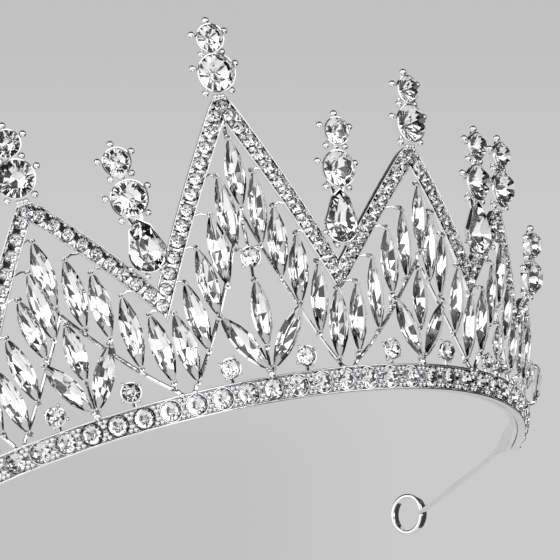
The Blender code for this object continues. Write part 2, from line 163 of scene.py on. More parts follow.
# ---------------------------------------------------------------- mesh building
class Shape:
    """Points and faces of one piece, in millimetres, and which of its faces are foiled."""

    def __init__(self):
        self.points = []
        self.faces = []
        self.foiled = set()

    def add_stone(self, points, fronts, backs, frame):
        """A cut stone whose back facets carry a mirror foil."""
        first = len(self.faces) + len(fronts)
        self.add(points, fronts + backs, frame)
        self.foiled.update(range(first, first + len(backs)))

    def add(self, points, faces, frame=None):
        first = len(self.points)
        self.points += [frame @ point for point in points] if frame is not None else list(points)
        self.faces += [tuple(first + i for i in face) for face in faces]

    def loft(self, rings, closed=False):
        """Faces between rings of points, with flat ends unless the rings close on themselves."""
        size = len(rings[0])
        points = [point for ring in rings for point in ring]
        faces = []
        for row in range(len(rings) if closed else len(rings) - 1):
            low, high = row * size, (row + 1) % len(rings) * size
            for i in range(size):
                j = (i + 1) % size
                faces.append((low + i, low + j, high + j, high + i))
        if not closed:
            faces.append(tuple(reversed(range(size))))
            faces.append(tuple(range(len(points) - size, len(points))))
        self.add(points, faces)

    def tube(self, path, radii, sides=8):
        """A round wire along path; radii is one radius, or one for each point."""
        radii = radii if hasattr(radii, "__len__") else [radii] * len(path)
        across = None
        rings = []
        for i, point in enumerate(path):
            ahead = (path[min(i + 1, len(path) - 1)] - path[max(i - 1, 0)]).normalized()
            if across is None:
                across = ahead.orthogonal().normalized()
            across = (across - ahead * across.dot(ahead)).normalized()
            over = ahead.cross(across)
            turns = [2.0 * math.pi * k / sides for k in range(sides)]
            spokes = [across * math.cos(turn) + over * math.sin(turn) for turn in turns]
            rings.append([point + radii[i] * spoke for spoke in spokes])
        self.loft(rings)

    def ball(self, centre, radius, detail=2):
        points, faces = BALLS[detail]
        self.add([centre + radius * point for point in points], faces)


def ball_template(detail):
    ball = bmesh.new()
    bmesh.ops.create_icosphere(ball, subdivisions=detail, radius=1.0)
    points = [vert.co.copy() for vert in ball.verts]
    faces = [tuple(vert.index for vert in face.verts) for face in ball.faces]
    ball.free()
    return points, faces


BALLS = {detail: ball_template(detail) for detail in (2, 3)}


def ring_points(radius, sides):
    """The corners of a regular outline, the first one at the top."""
    turns = [math.radians(90.0) + 2.0 * math.pi * k / sides for k in range(sides)]
    return [Vector((radius * math.cos(a), radius * math.sin(a), 0.0)) for a in turns]


def pear_outline(length, width, sides=16):
    """A round foot and two bulging sides that meet in a point at the top, which comes first."""
    radius = 0.5 * width
    centre = radius - 0.5 * length
    tangent = math.acos(radius / (length - radius))
    tip = Vector((0.0, 0.5 * length, 0.0))
    steps = sides - 4
    sweep = 2.0 * (math.pi - tangent)
    turns = [0.5 * math.pi + tangent + sweep * k / steps for k in range(steps + 1)]
    arc = [Vector((radius * math.cos(a), centre + radius * math.sin(a), 0.0)) for a in turns]
    shoulders = []
    for end in (arc[0], arc[-1]):
        bulge = Vector((math.copysign(1.0, end.x), 0.6, 0.0))
        shoulders.append(tip.lerp(end, PEAR_SHOULDER) + PEAR_BULGE * width * bulge)
    return [tip, shoulders[0]] + arc + [shoulders[1]]


def cut_stone(outline, crown, pavilion, culet=0.0):
    """A cut stone over any outline with an even number of corners.

    The crown has a table, stars and split kites, and the pavilion runs down to a point. Table and
    point are centred at the height culet on the outline's Y axis.
    """
    n = len(outline)
    half = n // 2
    centre = Vector((0.0, culet, 0.0))
    tables = [centre.lerp(outline[2 * k], TABLE) + Vector((0.0, 0.0, crown)) for k in range(half)]
    tops = [point + Vector((0.0, 0.0, GIRDLE)) for point in outline]
    bottoms = [point - Vector((0.0, 0.0, GIRDLE)) for point in outline]
    lowest = [Vector((0.0, culet, -pavilion))]
    first_top, first_bottom = half, half + n
    last = half + 2 * n
    fronts, backs = [tuple(range(half))], []
    for k in range(half):
        corner, after = first_top + 2 * k, first_top + 2 * k + 1
        before = first_top + (2 * k - 1) % n
        fronts += [((k + 1) % half, k, after), (k, before, corner), (k, corner, after)]
    for i in range(n):
        j = (i + 1) % n
        fronts.append((first_top + i, first_bottom + i, first_bottom + j, first_top + j))
        backs.append((first_bottom + i, last, first_bottom + j))
    return tables + tops + bottoms + lowest, fronts, backs


def marquise_stone(length, width, crown, pavilion):
    """A boat-shaped stone of long facets, foiled along its keel and clear at its rim.

    Its sections are skewed along the stone, which makes the facets slant.
    """
    points = [Vector((0.0, -0.5 * length, 0.0))]
    for y, spread, dip in MARQUISE_STATIONS:
        half, low, inner = 0.5 * width * spread, pavilion * dip, 0.62 * y
        section = [(-half, y, GIRDLE), (-0.5 * half, inner, crown), (0.5 * half, inner, crown)]
        section += [(half, y, GIRDLE), (half, y, -GIRDLE), (0.58 * half, 0.85 * y, -0.62 * low)]
        section += [(0.0, inner, -low), (-0.58 * half, 0.85 * y, -0.62 * low), (-half, y, -GIRDLE)]
        points += [Vector((x, part * length, z)) for x, part, z in section]
    points.append(Vector((0.0, 0.5 * length, 0.0)))
    size = len(section)
    last = 1 + (len(MARQUISE_STATIONS) - 1) * size
    fronts, backs = [], []
    for i in range(size):
        j = (i + 1) % size
        fronts.append((0, 1 + i, 1 + j))
        strip = backs if i == KEEL_STRIPS[1] else fronts
        strip.append((last + i, len(points) - 1, last + j))
        strip = backs if i in KEEL_STRIPS else fronts
        for low in range(1, last, size):
            strip += [(low + i, low + size + i, low + j), (low + size + i, low + size + j, low + j)]
    return points, fronts, backs


def make_piece(name, shape, material, replaced, sharp_degrees=None):
    """Makes a piece of the object from a shape. Without an angle every facet stays flat."""
    mesh = bpy.data.meshes.new(name)
    mesh.from_pydata([MM * point for point in shape.points], [], shape.faces)
    solid = bmesh.new()
    solid.from_mesh(mesh)
    bmesh.ops.recalc_face_normals(solid, faces=solid.faces)
    solid.to_mesh(mesh)
    solid.free()
    mesh.materials.append(material)
    if shape.foiled:
        mesh.materials.append(FOIL)
        for index in shape.foiled:
            mesh.polygons[index].material_index = 1
    if sharp_degrees is not None:
        mesh.polygons.foreach_set("use_smooth", [True] * len(mesh.polygons))
        mesh.set_sharp_from_angle(angle=math.radians(sharp_degrees))
    piece = bpy.data.objects.new(name, mesh)
    bpy.context.scene.collection.objects.link(piece)
    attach(piece, "root")
    if replaced:
        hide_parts(*replaced)


def make_sides(name, shape, material, replaced, sharp_degrees=None, both=True):
    """Makes a piece, or the right-hand piece and its mirror image on the left."""
    if not both:
        make_piece(name, shape, material, replaced, sharp_degrees)
        return
    make_piece(name + "_right", shape, material, [n + "_right" for n in replaced], sharp_degrees)
    other = Shape()
    flipped = [tuple(reversed(face)) for face in shape.faces]
    other.add([Vector((-point.x, point.y, point.z)) for point in shape.points], flipped)
    other.foiled = shape.foiled
    make_piece(name + "_left", other, material, [n + "_left" for n in replaced], sharp_degrees)


# ---------------------------------------------------------------- materials
def shader_of(material):
    """Turns the material's nodes on and returns its shader."""
    material.use_nodes = True
    return material.node_tree.nodes["Principled BSDF"]


def noise_bump(material, scale, strength):
    """A fine unevenness of the surface. Returns the noise that it comes from."""
    tree = material.node_tree
    shader = tree.nodes["Principled BSDF"]
    place = tree.nodes.new("ShaderNodeTexCoord")
    noise = tree.nodes.new("ShaderNodeTexNoise")
    noise.inputs["Scale"].default_value = scale
    noise.inputs["Detail"].default_value = 3.0
    bump = tree.nodes.new("ShaderNodeBump")
    bump.inputs["Strength"].default_value = strength
    bump.inputs["Distance"].default_value = BUMP_DEPTH
    tree.links.new(place.outputs["Object"], noise.inputs["Vector"])
    tree.links.new(noise.outputs["Fac"], bump.inputs["Height"])
    tree.links.new(bump.outputs["Normal"], shader.inputs["Normal"])
    return noise


def make_metal(name, colour, low_roughness, high_roughness, scale, bump):
    """Bright plating over a casting: slightly uneven, with polish that varies."""
    material = bpy.data.materials.new(name)
    shader = shader_of(material)
    shader.inputs["Metallic"].default_value = 1.0
    noise = noise_bump(material, scale, bump)
    tree = material.node_tree
    polish = tree.nodes.new("ShaderNodeMapRange")
    polish.inputs["From Min"].default_value = 0.3
    polish.inputs["From Max"].default_value = 0.7
    polish.inputs["To Min"].default_value = low_roughness
    polish.inputs["To Max"].default_value = high_roughness
    tree.links.new(noise.outputs["Fac"], polish.inputs["Value"])
    tree.links.new(polish.outputs["Result"], shader.inputs["Roughness"])
    tint = tree.nodes.new("ShaderNodeValToRGB")
    tint.color_ramp.elements[0].position = 0.35
    tint.color_ramp.elements[0].color = (*[0.93 * c for c in colour], 1.0)
    tint.color_ramp.elements[1].position = 0.6
    tint.color_ramp.elements[1].color = (*colour, 1.0)
    tree.links.new(noise.outputs["Fac"], tint.inputs["Fac"])
    tree.links.new(tint.outputs["Color"], shader.inputs["Base Color"])
    return material


def make_crystal(name, ior, tint):
    """Clear cut crystal, whose tint varies very slightly from place to place."""
    material = bpy.data.materials.new(name)
    shader = shader_of(material)
    shader.inputs["Transmission Weight"].default_value = 1.0
    shader.inputs["IOR"].default_value = ior
    shader.inputs["Roughness"].default_value = 0.0
    tree = material.node_tree
    place = tree.nodes.new("ShaderNodeTexCoord")
    noise = tree.nodes.new("ShaderNodeTexNoise")
    noise.inputs["Scale"].default_value = 350.0
    tone = tree.nodes.new("ShaderNodeValToRGB")
    tone.color_ramp.elements[0].color = (*[0.96 * c for c in tint], 1.0)
    tone.color_ramp.elements[1].color = (*tint, 1.0)
    tree.links.new(place.outputs["Object"], noise.inputs["Vector"])
    tree.links.new(noise.outputs["Fac"], tone.inputs["Fac"])
    tree.links.new(tone.outputs["Color"], shader.inputs["Base Color"])
    return material


BUMP_DEPTH = 0.4 * MM
CAST = make_metal("cast_rhodium", (0.93, 0.935, 0.945), 0.05, 0.13, 700.0, 0.12)
POLISHED = make_metal("polished_rhodium", (0.94, 0.945, 0.955), 0.02, 0.06, 260.0, 0.04)
# darker grey metal: painted shade for the recesses between the stones
RECESS_SHADE = make_metal("painted_recess_shade", (0.6, 0.6, 0.61), 0.12, 0.25, 900.0, 0.4)
FOIL = make_metal("foil", (0.96, 0.96, 0.965), 0.0, 0.01, 400.0, 0.0)
STONE = make_crystal("clear_crystal", 1.54, (0.93, 0.935, 0.94))
MARQUISE_CRYSTAL = make_crystal("marquise_crystal", 1.58, (0.985, 0.99, 0.995))

# ---------------------------------------------------------------- layout, close to part.py's
BAND_STEP = 1.25
BAND_HEIGHT = 5.2
BAND_BACK = -1.6
BAND_FRONT = -0.4
# where the strip starts to narrow, and over what length
NARROWING = (96.0, 9.0)
# where the tail starts to shift outward, over what length, and how far
TAIL_SHIFT = (120.0, 20.0, 0.85)
TAIL_HEIGHT = 0.9
TAIL_THICKNESS = 1.3
TAIL_STOP = 0.6
LOOP_CENTRE = Vector((63.9, 99.1 - DEPTH_CENTRE, 6.7))
LOOP_HEADING = math.radians(120.0)
LOOP_RADIUS = 4.15
LOOP_WIRE = 1.0
LOOP_WIDTH = 2.2
LOOP_SIDES = 64
STONE_PITCH = 5.2
STONES_EACH_SIDE = 18
RAIL_JOINT = 49.4
RAIL_END = 96.1
RAIL_GAP = 0.15
RAIL_STEP = 1.3
RAIL_RIM = 0.42
# how far out the back, the floor and the front of a channel are
RAIL_DEPTHS = (-0.3, -0.05, 1.35)
LEG_WIDTH = 3.3
APEX_TRIM = 0.9
LEG_LOWEST = 5.6
LEG_STEP = 1.2
LEG_TRIM = 0.05
LEG_RIM = 0.26
LEG_DEPTHS = (-0.6, 0.0, 0.95)
LEG_LOW_RIM = 0.7
# u and v of each peak's apex and of each valley, and the valleys on both sides of a peak
APEXES = {"centre": (0.0, 60.0), "inner": (35.2, 48.4), "outer": (58.1, 38.8), "end": (72.0, 24.0)}
VALLEYS = {"front": (17.4, 23.2), "side": (49.7, 23.6), "rear": (67.0, 18.0), "foot": (82.5, 7.2)}
PEAK_SPANS = {"inner": ("front", "side"), "outer": ("side", "rear"), "end": ("rear", "foot")}
# marquises under a peak: u from its centre line, v of the lower tip, tilt in degrees, length
CENTRE_FAN = (
    (2.35, 30.5, 4, 15.5), (5.15, 23.6, 3, 15.1), (7.9, 18.05, 6.5, 14.8),
    (11.1, 11.85, 7.5, 14.9), (14.45, 6.4, 6.4, 14.9),
)
FANS = {
    "inner": ((0.2, 27.5, 2, 14.5), (-3.5, 22, 0, 14.8), (-7.2, 18.8, 0, 14.1), (-11.1, 11.6, 0, 15.4),
              (-16.3, 7.4, 5.8, 14.8), (2.2, 21.8, 3, 14.8), (4.6, 18.8, 6.5, 13.4), (8.4, 11.5, 7, 14.6),
              (12, 6.5, 7, 14.6)),
    "outer": ((0, 19.5, 0, 14), (-3.1, 14.5, 1, 14), (-6.2, 8.5, 2, 14), (2.7, 13, 3, 12.5),
              (5.9, 6.8, 4, 11.5)),
    "end": ((0, 6.9, 2, 13.5), (-3.4, 6.9, 1, 9.5), (4, 6.9, 5, 6.5)),
}
CENTRE_TIP = 38.4
CENTRE_TIP_LENGTH = 14.6
# u, v, out and length
LAST_MARQUISE = (85.0, 6.4, 2.4, 9.0)
# an arch's reach toward the front centre and away from it, its height and its bow
ARCHES = {
    "centre": (15.0, 15.0, 38.2, 0.0516),
    "inner": (16.7, 13.6, 26.3, 0.0266),
    "outer": (6.9, 7.0, 19.0, 0.0),
    "end": (3.6, 7.0, 6.25, 0.0),
}
ARCH_FOOT = 5.9
FOOT_HEIGHT = 5.0
# base: u; upright: v of the lower tip and length; spread: how far sideways each side marquise
# leans; accents: distance to each side and radius
LILIES = {
    "centre": {"base": 0.0, "upright": (10.6, 14.0), "spread": (8.4, 8.4), "accents": (7.75, 2.0)},
    "inner": {"base": 34.4, "upright": (12.2, 12.6), "spread": (6.3, 6.6), "accents": (7.3, 2.0)},
    "outer": {"base": 57.9, "upright": (7.6, 8.6), "spread": (), "accents": (2.8, 1.5)},
}
LILY_SPREAD_BASE = 6.3
LILY_SPREAD_TOP = 18.4
# v and radius of the round stone above the middle lily
LILY_CROWN = (28.9, 2.0)
LARGE_RADIUS = 3.75
SMALL_RADIUS = 2.7
LARGE_RISE = 5.8
SMALL_RISE = 12.8
FINIAL_LEANS = {"centre": 0.0, "inner": -3.0, "outer": -8.0, "end": -8.0}
# u and v of the pear stone's middle, and the drop's tilt in degrees
DROPS = {"front": (18.1, 35.0, 5.0), "side": (49.9, 34.4, -1.0)}
DROP_OUT = 0.9
DROP_LARGE_RADIUS = 3.6
DROP_LARGE_RISE = 9.5
DROP_SMALL_RISE = 17.1
PEAR_LENGTH = 10.6
PEAR_WIDTH = 7.2

# ---------------------------------------------------------------- the parts of the look
SETTING_SIDES = 28
GIRDLE = 0.06
# directions of the prongs in degrees
FIVE = (18, 90, 162, 234, 306)
FOUR = (45, 135, 225, 315)
# edges that turn by more degrees than this stay sharp on metal
SHARP = 35
CORNER_STEPS = 3
TABLE = 0.6
ROUND_CROWN = 0.42
ROUND_DEPTH = 0.75
PRONG_BALL = 0.76
PRONG_REACH = 1.25
PRONG_WIRE = (0.34, 0.34, 0.3)
CUP_WALL = 0.22
STONE_RADIUS = 2.06
STONE_OUT = 1.2
STONE_TWIST = 17.0
STONE_CROWN = 0.8
STONE_DEPTH = 1.45
# radius and height round a stone's axis
COLLAR = ((1.8, -0.1), (2.18, 0.2), (2.22, 1.12), (2.1, 1.12), (1.55, 0.3))
# v and out of the dark sheet on a channel's floor, painted shade between the stones
RECESS_SECTION = ((0.55, -0.1), (4.65, -0.1), (4.65, 0.03), (0.55, 0.03))
BEAD = 0.5
BEAD_POST = 0.32
BEAD_OUT = 1.45
# distances from the middle between two stones, toward the stone and up the wall
BEAD_SPOTS = ((0.5, 1.62), (0.12, 0.78), (0.12, -0.78), (0.5, -1.62))
BEAD_MARGIN = 0.3
PAVE_RADIUS = 1.36
PAVE_PITCH = 3.08
PAVE_OUT = 0.85
PAVE_TWIST = 11.0
PAVE_CROWN = 0.5
PAVE_DEPTH = 0.95
PAVE_FIRST = 2.9
PAVE_BEAD = 0.36
PAVE_BEAD_SIDE = 1.15
WIRE_OUT = 0.6
WIRE_RADIUS = 0.42
MARQUISE_OUT = 1.75
MARQUISE_WIDTH = 4.3
MARQUISE_CROWN = 0.95
SEAT_WIRE = 0.4
CLAW_WIRE = (0.3, 0.26, 0.2)
CLAW_BALL = 0.24
# shares along the stone, of its full width and of its full depth
MARQUISE_STATIONS = (
    (-0.38, 0.42, 0.6), (-0.2, 0.84, 0.85), (0.0, 1.0, 1.0), (0.2, 0.84, 0.85), (0.38, 0.42, 0.6),
)
KEEL_STRIPS = (5, 6)
PEAR_SHOULDER = 0.45
PEAR_BULGE = 0.1
PEAR_PRONGS = (205, 250, 290, 335)
PEAR_PRONG_PATH = ((2.2, 0.3), (4.0, 0.9), (4.55, 1.9), (4.65, 2.4))
PEAR_PRONG_WIRE = (0.34, 0.34, 0.3, 0.3)
PEAR_CUP_DEPTH = 2.0
PEAR_CROWN = 1.5
PEAR_DEPTH = 2.4
PEAR_CENTRE = -1.5


def rounded(corners, radius):
    """A polygon of (a, b) corners with each corner rounded off."""
    soft = []
    for i, corner in enumerate(corners):
        here = Vector(corner)
        before, after = Vector(corners[i - 1]), Vector(corners[(i + 1) % len(corners)])
        reach = min(radius, 0.45 * (before - here).length, 0.45 * (after - here).length)
        start = here + reach * (before - here).normalized()
        stop = here + reach * (after - here).normalized()
        for k in range(CORNER_STEPS + 1):
            t = k / CORNER_STEPS
            soft.append((1 - t) ** 2 * start + 2 * t * (1 - t) * here + t * t * stop)
    return soft


def band_strip():
    """The flat strip behind the rails, which narrows into the tails, and its two loops."""
    shape = Shape()
    rings = []
    end = WALL_END + TAIL_LENGTH - TAIL_STOP
    for u in spaced(-end, end, BAND_STEP):
        share = ramp(abs(u), *NARROWING)
        middle = 0.5 * BAND_HEIGHT
        reach = middle + share * (0.5 * TAIL_HEIGHT - middle)
        shift = TAIL_SHIFT[2] * ramp(abs(u), *TAIL_SHIFT[:2])
        centre = 0.5 * (BAND_BACK + BAND_FRONT) + shift
        half = 0.5 * (BAND_FRONT - BAND_BACK)
        half += share * (0.5 * TAIL_THICKNESS - half)
        low = [(middle - reach, centre + half), (middle - reach, centre - half)]
        high = [(middle + reach, centre - half), (middle + reach, centre + half)]
        section = rounded(low + high, 0.28 + 0.3 * share)
        rings.append([wall_point(u, v, out) for v, out in section])
    shape.loft(rings)
    for side in (-1.0, 1.0):
        radial = Vector((side * math.cos(LOOP_HEADING), math.sin(LOOP_HEADING), 0.0))
        axis = Vector((math.sin(LOOP_HEADING), -side * math.cos(LOOP_HEADING), 0.0))
        centre = Vector((side * LOOP_CENTRE.x, LOOP_CENTRE.y, LOOP_CENTRE.z))
        half_wire, half_width = 0.5 * LOOP_WIRE, 0.5 * LOOP_WIDTH
        corners = [(-half_wire, -half_width), (half_wire, -half_width)]
        corners += [(half_wire, half_width), (-half_wire, half_width)]
        section = rounded(corners, 0.48)
        rings = []
        for k in range(LOOP_SIDES):
            turn = 2.0 * math.pi * k / LOOP_SIDES
            ray = math.cos(turn) * radial + math.sin(turn) * Vector((0.0, 0.0, 1.0))
            rings.append([centre + (LOOP_RADIUS + a) * ray + b * axis for a, b in section])
        shape.loft(rings, closed=True)
    make_piece("band_strip", shape, POLISHED, ["head_band"], 40)


def channel_profile(bottom, top, rim, scale, depths, low_rim=None):
    """A channel with a rim along both edges, as (v, out); depths are its back, floor and front."""
    back, floor, front = depths
    low_front = front if low_rim is None else low_rim
    corners = [(bottom, back), (bottom, low_front), (bottom + rim * scale, low_front)]
    corners += [(bottom + rim * scale * 1.15, floor), (top - rim * scale * 1.15, floor)]
    corners += [(top - rim * scale, front), (top, front), (top, back)]
    return rounded(corners, 0.2 * scale)


def rail(name, start, stop, both):
    """A rail casting with its round stones, the beads that hold them and its floor, darkened as painted
    shade.
    """
    casting, stones = Shape(), Shape()
    rings = []
    for u in spaced(start, stop, RAIL_STEP):
        section = channel_profile(0.0, BAND_HEIGHT, RAIL_RIM, 1.0, RAIL_DEPTHS)
        rings.append([wall_point(u, v, out) for v, out in section])
    casting.loft(rings)
    # a dark sheet over the channel floor, painted shade
    floor = Shape()
    stations = spaced(start, stop, RAIL_STEP)
    floor.loft([[wall_point(u, v, out) for v, out in RECESS_SECTION] for u in stations])
    outline = ring_points(STONE_RADIUS, 12)
    for k in range(-STONES_EACH_SIDE, STONES_EACH_SIDE + 1):
        u = k * STONE_PITCH
        if not start < u < stop:
            continue
        frame = wall_frame(u, 0.5 * BAND_HEIGHT, STONE_OUT, STONE_TWIST * k)
        stones.add_stone(*cut_stone(outline, STONE_CROWN, STONE_DEPTH), frame)
        seat = wall_frame(u, 0.5 * BAND_HEIGHT, 0.0)
        add_ring(casting, COLLAR, seat)
        for side in (-1, 1):
            edge = u + side * 0.5 * STONE_PITCH
            if not start - BEAD_MARGIN < edge < stop + BEAD_MARGIN:
                continue
            for along, height in BEAD_SPOTS:
                spot = edge - side * along, 0.5 * BAND_HEIGHT + height
                foot, head = wall_point(*spot, -0.1), wall_point(*spot, BEAD_OUT)
                casting.tube([foot, head], BEAD_POST, 6)
                casting.ball(head, BEAD)
    node = "stone_rail" if both else "stone_rail_centre"
    make_sides(name + "_casting", casting, CAST, [node], SHARP, both)
    make_sides(name + "_recess", floor, RECESS_SHADE, [], SHARP, both)
    make_sides(name + "_stones", stones, STONE, [], None, both)


def add_ring(shape, profile, frame):
    """A turned ring: profile is (radius, height) round the frame's Z axis."""
    rings = []
    for k in range(SETTING_SIDES):
        turn = 2.0 * math.pi * k / SETTING_SIDES
        rings.append([frame @ Vector((r * math.cos(turn), r * math.sin(turn), z)) for r, z in profile])
    shape.loft(rings, closed=True)


def leg_rise(start, stop):
    """Half the upright extent of a leg that runs from start to stop."""
    slope = (stop[1] - start[1]) / (stop[0] - start[0])
    return 0.5 * LEG_WIDTH * math.hypot(1.0, slope)


def peak_corners(peak):
    """The left valley, the apex and the right valley of a peak."""
    if peak == "centre":
        u, v = VALLEYS["front"]
        return (-u, v), APEXES[peak], (u, v)
    first, last = PEAK_SPANS[peak]
    return VALLEYS[first], APEXES[peak], VALLEYS[last]


def leg_middle(peak, u):
    """Height of the legs' centre line at u, and half their upright extent there."""
    left, apex, right = peak_corners(peak)
    at_apex = 0.5 * (leg_rise(left, apex) + leg_rise(apex, right))
    valley = left if u < apex[0] else right
    share = min(abs((u - apex[0]) / (valley[0] - apex[0])), 1.0)
    extent = at_apex + share * (leg_rise(valley, apex) - at_apex)
    return apex[1] + share * (valley[1] - apex[1]), extent


def frame_legs(peak, both):
    """The two channelled legs of a peak, with a row of small stones held by beads."""
    left, apex, right = peak_corners(peak)
    casting, stones = Shape(), Shape()
    stations = [left[0] + LEG_TRIM] + spaced(left[0], apex[0], LEG_STEP)[1:]
    stations += spaced(apex[0], right[0], LEG_STEP)[1:-1] + [right[0] - LEG_TRIM]
    rings = []
    for u in stations:
        middle, extent = leg_middle(peak, u)
        top = min(middle + extent, apex[1] + APEX_TRIM)
        bottom = max(middle - extent, LEG_LOWEST)
        scale = 2.0 * extent / LEG_WIDTH
        section = channel_profile(bottom, top, LEG_RIM, scale, LEG_DEPTHS, LEG_LOW_RIM)
        rings.append([wall_point(u, v, out) for v, out in section])
    casting.loft(rings)
    spots = [(apex[0], apex[1] - 1.0, 0.0)]
    if peak != "centre":
        spots.append((left[0], left[1] - 0.3, 0.0))
    for valley in (left, right):
        run = Vector(valley) - Vector(apex)
        ahead = run.normalized()
        for distance in spaced(PAVE_FIRST, run.length - 0.95 * PAVE_PITCH, PAVE_PITCH):
            spot = Vector(apex) + distance * ahead
            if spot.y - 1.2 < LEG_LOWEST:
                continue
            spots.append((spot.x, spot.y, math.degrees(math.atan2(-ahead.x, -ahead.y))))
    outline = ring_points(PAVE_RADIUS, 12)
    for index, (u, v, turn) in enumerate(spots):
        frame = wall_frame(u, v, PAVE_OUT, turn + PAVE_TWIST * index)
        stones.add_stone(*cut_stone(outline, PAVE_CROWN, PAVE_DEPTH), frame)
        seat = wall_frame(u, v, 0.0, turn)
        for x in (-PAVE_BEAD_SIDE, PAVE_BEAD_SIDE):
            casting.ball(seat @ Vector((x, 0.5 * PAVE_PITCH, PAVE_OUT)), PAVE_BEAD)
    node = ["frame_" + peak]
    make_sides("leg_casting_" + peak, casting, CAST, node, SHARP, both)
    make_sides("leg_stones_" + peak, stones, STONE, [], None, both)


def arch_height(peak, offset):
    """Height of a peak's arch wire, offset from the peak's own centre line."""
    inner, outer, height, bow = ARCHES[peak]
    reach = inner if offset < 0 else outer
    slope = (height - ARCH_FOOT + bow * reach * reach) / reach
    return height - slope * abs(offset) + bow * offset * offset


def set_marquise(wires, stones, u, v, tilt, length, out=MARQUISE_OUT, roll=0.0):
    """A marquise stone with its lower tip at (u, v), in a two-clawed seat."""
    frame = upward(wall_frame(u, v, out, tilt), 0.5 * length)
    frame = frame @ Matrix.Rotation(math.radians(roll), 4, "Y")
    width = MARQUISE_WIDTH * min(1.0, 0.5 + length / 25.0)
    depth = 1.25 + 0.15 * math.sin(5.1 * u + 2.7 * v)
    stones.add_stone(*marquise_stone(length, width, MARQUISE_CROWN, depth), frame)
    for end in (-1.0, 1.0):
        tip = frame @ Vector((0.0, end * (0.5 * length - 0.15), -0.2))
        foot = frame @ Vector((0.0, end * (0.5 * length + 0.1), -1.25))
        wires.tube([foot, tip], SEAT_WIRE)
        for side in (-1.0, 1.0):
            base = frame @ Vector((side * 0.45, end * (0.5 * length - 0.35), -0.6))
            head = frame @ Vector((side * 0.33, end * (0.5 * length - 0.75), 0.3))
            wires.tube([foot, base, head], CLAW_WIRE, 6)
            wires.ball(head, CLAW_BALL)


def leg_reach(peak, u, v):
    """How far sideways from (u, v), away from the centre line, the leg's underside is."""
    side = math.copysign(1.0, u - APEXES[peak][0])
    reach = 0.0
    while reach < 4.5:
        middle, extent = leg_middle(peak, u + side * reach)
        if middle - extent < v:
            break
        reach += 0.1
    return side * reach


def fan(peak, both):
    """The arch wire of a peak and the marquise stones between it and the legs."""
    axis = APEXES[peak][0]
    wires, stones = Shape(), Shape()
    inner, outer, _, _ = ARCHES[peak]
    for reach in (-inner, outer):
        path = [wall_point(axis + x, arch_height(peak, x), WIRE_OUT) for x in spaced(0.0, reach, 1.5)]
        path.append(wall_point(axis + reach * 1.03, FOOT_HEIGHT, 1.0))
        wires.tube(path, WIRE_RADIUS)
        wires.ball(path[-1], 0.62)
    if peak == "centre":
        seats = [(0.0, CENTRE_TIP, 0.0, CENTRE_TIP_LENGTH)]
        for side in (-1, 1):
            seats += [(side * x, v, side * tilt, size) for x, v, tilt, size in CENTRE_FAN]
    else:
        seats = FANS[peak]
    for index, (x, v, tilt, size) in enumerate(seats):
        u = axis + x
        set_marquise(wires, stones, u, v, tilt, size, roll=9.0 * math.sin(2.3 * index))
        arch = arch_height(peak, x)
        wires.tube([wall_point(u, arch, WIRE_OUT), wall_point(u, v, WIRE_OUT)], 0.38)
        top_u = u + size * math.sin(math.radians(tilt))
        top_v = v + size * math.cos(math.radians(tilt))
        reach = leg_reach(peak, top_u, top_v)
        if x and abs(reach) < 4.4:
            spots = [(top_u, top_v - 0.2), (top_u + 0.5 * reach, top_v + 0.25), (top_u + 1.1 * reach, top_v)]
            wires.tube([wall_point(a, b, 0.4) for a, b in spots], 0.26)
        elif not x:
            middle, extent = leg_middle(peak, axis)
            wires.tube([wall_point(axis, top_v, 0.4), wall_point(axis, middle - extent + 0.4, 0.4)], 0.4)
    if peak == "end":
        u, v, out, length = LAST_MARQUISE
        set_marquise(wires, stones, u, v, 0.0, length, out)
        arm = (81.6, v + 0.9, 0.0), (u, v + 0.7, 0.0), (u, v + 0.2, out - 1.0)
        wires.tube([wall_point(*point) for point in arm], 0.5)
    make_sides("fan_wires_" + peak, wires, CAST, ["marquise_fan_" + peak], SHARP, both)
    make_sides("fan_marquises_" + peak, stones, MARQUISE_CRYSTAL, [], None, both)


def set_round(metal, stones, frame, radius, turns, ball, cup_depth=2.0, twist=0.0):
    """A round stone in an open cup, with ball-tipped prongs at the given angles."""
    profile = [(0.5 * radius, -0.1), (0.8 * radius, 0.0), (radius + CUP_WALL, cup_depth - 0.6)]
    profile += [(radius + CUP_WALL, cup_depth - 0.1), (radius + 0.04, cup_depth - 0.06)]
    profile += [(radius - 0.3, cup_depth - 0.5)]
    add_ring(metal, profile, frame)
    seat = frame @ Matrix.Translation(Vector((0.0, 0.0, cup_depth + 0.1)))
    seat = seat @ Matrix.Rotation(math.radians(twist), 4, "Z")
    outline = ring_points(radius, 16 if radius > 2.2 else 12)
    stones.add_stone(*cut_stone(outline, ROUND_CROWN * radius, ROUND_DEPTH * radius), seat)
    for turn in turns:
        angle = math.radians(turn)
        away = Vector((math.cos(angle), math.sin(angle), 0.0))
        path = [0.8 * radius * away + Vector((0.0, 0.0, 0.3))]
        path.append((radius + 0.35) * away + Vector((0.0, 0.0, 0.45)))
        path.append((radius + PRONG_REACH * ball) * away + Vector((0.0, 0.0, 0.45 * cup_depth)))
        metal.tube([frame @ point for point in path], PRONG_WIRE)
        metal.ball(frame @ path[-1], ball, 3)


